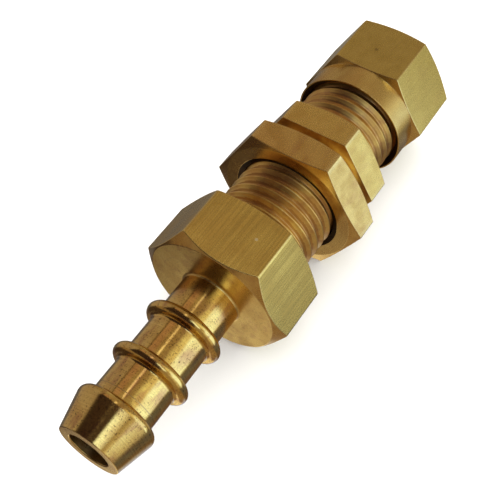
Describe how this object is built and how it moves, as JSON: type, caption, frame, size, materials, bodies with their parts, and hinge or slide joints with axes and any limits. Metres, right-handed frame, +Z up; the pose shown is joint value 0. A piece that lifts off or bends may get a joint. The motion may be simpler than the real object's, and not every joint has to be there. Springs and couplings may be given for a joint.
{
  "type": "tank connector",
  "caption": "Brass tank wall connector: a barbed hose nozzle on one side, a lock nut that clamps the wall against a hexagon, and a compression tube end on the other side.",
  "frame": {"origin": "on the flow axis, at the face of the body's hexagon that bears on the tank wall", "axes": "+X along the flow axis from the hose end to the tube end, +Z up from the flat that the lock nut lies on"},
  "size_m": [0.0692, 0.022, 0.0192],
  "materials": {
    "body_brass": "machined, fine grained",
    "nut_brass": "machined, sandy matt flats",
    "olive_brass": "turned, smooth",
    "nozzle_brass": "turned, glossy, with drawn flats",
    "washer_rubber": "matt"
  },
  "bodies": {
    "body": {"bulkhead_body": "body_brass"},
    "lock_nut": {"lock_nut": "nut_brass"},
    "olive": {"olive": "olive_brass"},
    "compression_nut": {"compression_nut": "nut_brass"},
    "sealing_washer": {"sealing_washer": "washer_rubber"},
    "hose_nozzle": {"hose_nozzle": "nozzle_brass"}
  },
  "joints": [
    {"name": "lock_nut_travel", "type": "slide", "parent": "body", "child": "lock_nut", "axis": [1, 0, 0], "range_m": [-0.0077, 0.0016]},
    {"name": "olive_travel", "type": "slide", "parent": "body", "child": "olive", "axis": [1, 0, 0], "range_m": [0, 0.0052]},
    {"name": "compression_nut_turn", "type": "hinge", "parent": "olive", "child": "compression_nut", "pos_m": [0.0166, 0, 0], "axis": [1, 0, 0], "range_deg": [0, 1080]},
    {"name": "washer_travel", "type": "slide", "parent": "body", "child": "sealing_washer", "axis": [-1, 0, 0], "range_m": [0, 0.0052]},
    {"name": "nozzle_turn", "type": "hinge", "parent": "sealing_washer", "child": "hose_nozzle", "pos_m": [-0.021, 0, 0], "axis": [-1, 0, 0], "range_deg": [0, 1080]}
  ],
  "couplings": [
    {"joint": "olive_travel", "follows": "compression_nut_turn", "m_per_rad": 0.00023873},
    {"joint": "washer_travel", "follows": "nozzle_turn", "m_per_rad": 0.00023873}
  ]
}
